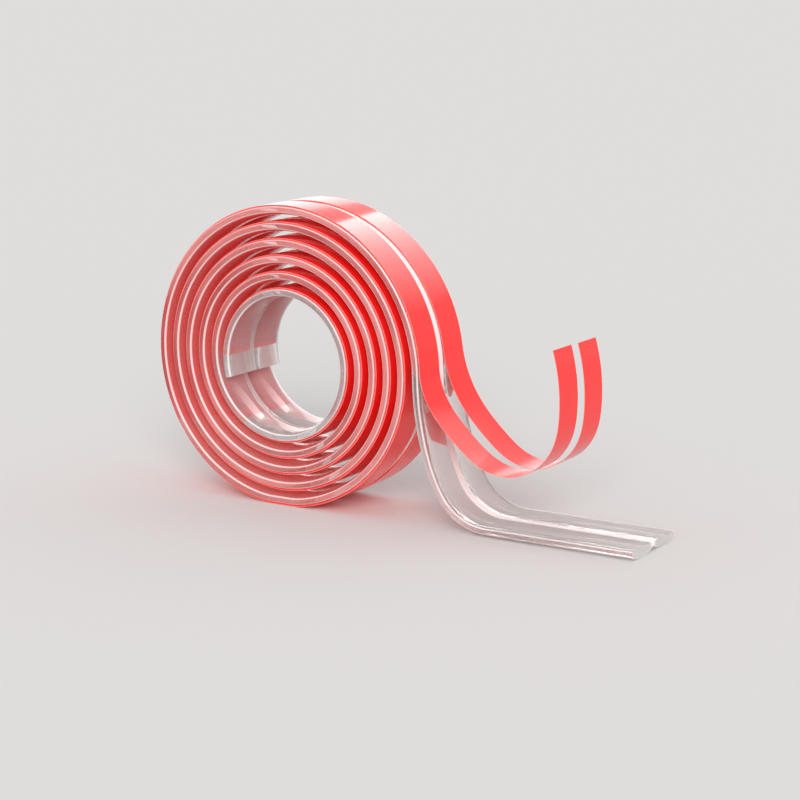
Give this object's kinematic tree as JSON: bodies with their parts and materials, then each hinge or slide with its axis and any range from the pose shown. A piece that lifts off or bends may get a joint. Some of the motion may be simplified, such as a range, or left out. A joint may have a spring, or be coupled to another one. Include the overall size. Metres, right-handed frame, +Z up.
{
  "type": "furniture corner protector strip",
  "caption": "Clear soft edge and corner guard strip wound in an open roll, its outer end lying flat with the release liners peeled back from the tape.",
  "frame": {"origin": "centre of the footprint on the table, under the middle of the whole length", "axes": "+X along the tail towards its cut end, +Y along the roll's axis away from the viewer, +Z up"},
  "size_m": [0.1332, 0.022, 0.0746],
  "materials": {
    "clear_plastic": "clear soft PVC, glossy extruded surface",
    "clear_tape": "clear double-sided acrylic tape, slightly satin",
    "red_film": "coral red release film, glossy"
  },
  "bodies": {
    "root": {"guard_strip": "clear_plastic", "front_tape": "clear_tape", "rear_tape": "clear_tape", "front_liner": "red_film", "rear_liner": "red_film"}
  },
  "joints": []
}
